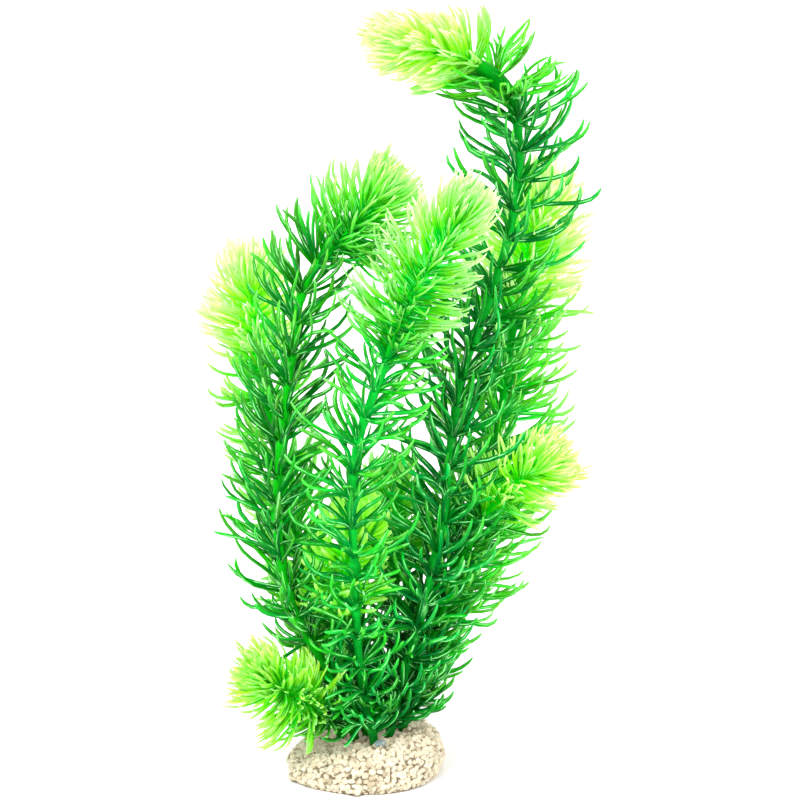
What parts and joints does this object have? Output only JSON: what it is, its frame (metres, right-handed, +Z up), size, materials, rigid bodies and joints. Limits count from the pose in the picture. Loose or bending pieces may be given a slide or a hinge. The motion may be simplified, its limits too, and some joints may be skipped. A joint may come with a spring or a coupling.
{
  "type": "artificial hornwort aquarium plant",
  "caption": "Bunch of slender bottle-brush stems of moulded plastic with whorls of fine forked leaves and dense bright heads, standing in an oval mound of glued gravel.",
  "frame": {"origin": "centre of the gravel mound's flat underside", "axes": "+Z up, along the stems; -Y towards the viewer of the bunch's front; +X to that viewer's right"},
  "size_m": [0.1653, 0.1158, 0.3159],
  "materials": {
    "dark_green": "satin",
    "mid_green": "satin",
    "bright_green": "satin",
    "lime": "satin",
    "gravel": "matte",
    "glue": "polished"
  },
  "bodies": {
    "root": {"tall_stem_lower_length": "dark_green", "tall_stem_middle_length": "dark_green", "tall_stem_upper_length": "dark_green", "tall_stem_head": "lime", "front_stem_lower_length": "mid_green", "front_stem_upper_length": "mid_green", "front_stem_head": "lime", "left_stem_lower_length": "dark_green", "left_stem_upper_length": "dark_green", "left_stem_head": "bright_green", "right_back_stem_lower_length": "mid_green", "right_back_stem_upper_length": "mid_green", "right_back_stem_head": "lime", "left_back_stem_lower_length": "mid_green", "left_back_stem_upper_length": "mid_green", "left_back_stem_head": "lime", "lower_right_stem_length": "dark_green", "lower_right_stem_head": "bright_green", "lower_left_stem_length": "mid_green", "lower_left_stem_head": "lime", "inner_left_stem_length": "mid_green", "inner_left_stem_head": "bright_green", "inner_right_stem_length": "dark_green", "inner_right_stem_head": "bright_green", "gravel_mound": "gravel", "glue_bead": "glue"}
  },
  "joints": []
}
